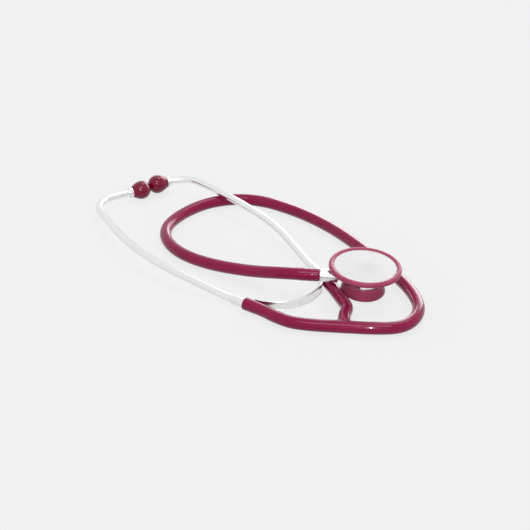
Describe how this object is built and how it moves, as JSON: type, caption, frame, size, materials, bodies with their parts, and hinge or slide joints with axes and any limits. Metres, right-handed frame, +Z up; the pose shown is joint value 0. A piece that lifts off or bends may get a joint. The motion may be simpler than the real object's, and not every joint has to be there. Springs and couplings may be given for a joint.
{
  "type": "stethoscope",
  "caption": "Dual-head stethoscope laid on a table: turning chest piece with diaphragm and bell, Y-shaped hose, leaf spring and sprung ear tubes with soft ear tips.",
  "frame": {"origin": "middle of the base of the chest piece and headset together, on the table they lie on", "axes": "+Z up from the table, +X from the left ear tube towards the chest piece, +Y from the junction towards the ear tips; the stem points along -X"},
  "size_m": [0.2254, 0.2025, 0.0226],
  "materials": {
    "hose": "glossy moulded PVC, burgundy",
    "soft_ring": "satin burgundy PVC",
    "ear_tip": "glossy soft silicone, burgundy",
    "diaphragm": "pale grey laminate, satin",
    "head_metal": "polished chrome plate",
    "ear_tube_metal": "polished steel tube",
    "spring_steel": "bare cold-rolled spring strip",
    "ferrule_metal": "polished swaged sleeve",
    "tip_bush": "pale turned collar",
    "bush_brass": "plain bearing bronze",
    "seal_rubber": "black seal rubber",
    "small_steel": "bright spring steel"
  },
  "bodies": {
    "tubing": {"main_hose": "hose", "y_junction": "hose", "left_branch_hose": "hose", "right_branch_hose": "hose", "leaf_spring": "spring_steel", "stem": "head_metal", "stem_collar": "head_metal", "retaining_clip": "small_steel"},
    "head": {"diaphragm_ring": "soft_ring", "diaphragm": "diaphragm", "head_body": "head_metal", "bell": "head_metal", "bell_ring": "soft_ring", "hub_bush": "bush_brass", "seal_ring": "seal_rubber", "hub_cap": "head_metal", "detent_ball": "small_steel", "detent_spring": "small_steel", "detent_plug": "small_steel"},
    "left_headset": {"left_ear_tube": "ear_tube_metal", "left_ferrule": "ferrule_metal", "left_tip_bush": "tip_bush", "left_ear_tip": "ear_tip"},
    "right_headset": {"right_ear_tube": "ear_tube_metal", "right_ferrule": "ferrule_metal", "right_tip_bush": "tip_bush", "right_ear_tip": "ear_tip"}
  },
  "joints": [
    {"name": "head_swivel", "type": "hinge", "parent": "tubing", "child": "head", "pos_m": [0.0814, -0.0609, 0.01173], "axis": [0.9981, 0, -0.061], "continuous": true},
    {"name": "left_spread", "type": "hinge", "parent": "tubing", "child": "left_headset", "pos_m": [0.0384, -0.0787, 0.0041], "axis": [0, 0, 1], "range_deg": [0, 25], "stiffness_Nm_per_rad": 0.8, "deforming": ["left_branch_hose", "leaf_spring"]},
    {"name": "right_spread", "type": "hinge", "parent": "tubing", "child": "right_headset", "pos_m": [0.0544, -0.0577, 0.0041], "axis": [0, 0, 1], "range_deg": [-5, 0], "stiffness_Nm_per_rad": 0.8, "deforming": ["right_branch_hose"]}
  ],
  "couplings": [
    {"joint": "right_spread", "follows": "left_spread", "ratio": -0.2}
  ]
}
